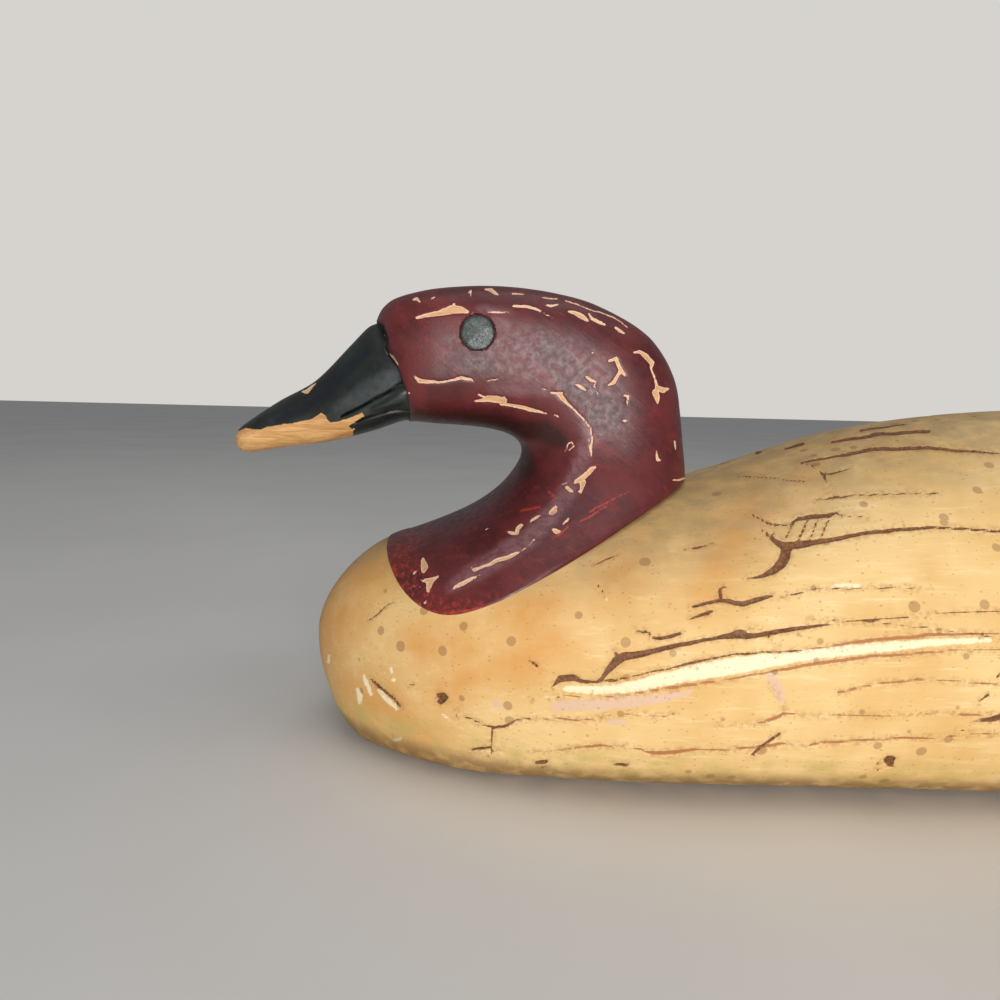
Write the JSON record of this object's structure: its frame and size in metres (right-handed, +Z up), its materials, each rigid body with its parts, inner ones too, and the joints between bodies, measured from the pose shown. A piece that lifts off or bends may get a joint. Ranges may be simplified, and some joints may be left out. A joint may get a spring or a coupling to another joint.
{
  "type": "duck decoy",
  "caption": "Carved wooden duck decoy with an upright head on a curved neck, a wedge bill, inset round eyes and a flat underside to stand on.",
  "frame": {"origin": "in the plane of the flat underside, in the middle of the length and of the width", "axes": "-X the way the bill points, +X toward the tail, -Y toward the duck's left side, +Z up"},
  "size_m": [0.4276, 0.149, 0.1651],
  "materials": {
    "body_paint": "worn cream and tan paint over bare wood, brown cracks along the grain, satin",
    "head_paint": "flaking maroon paint on head and neck, black bill with a bare wood tip, satin",
    "eye_paint": "dark green-black, semi-gloss"
  },
  "bodies": {
    "root": {"body": "body_paint", "head": "head_paint", "eye_left": "eye_paint", "eye_right": "eye_paint"}
  },
  "joints": []
}
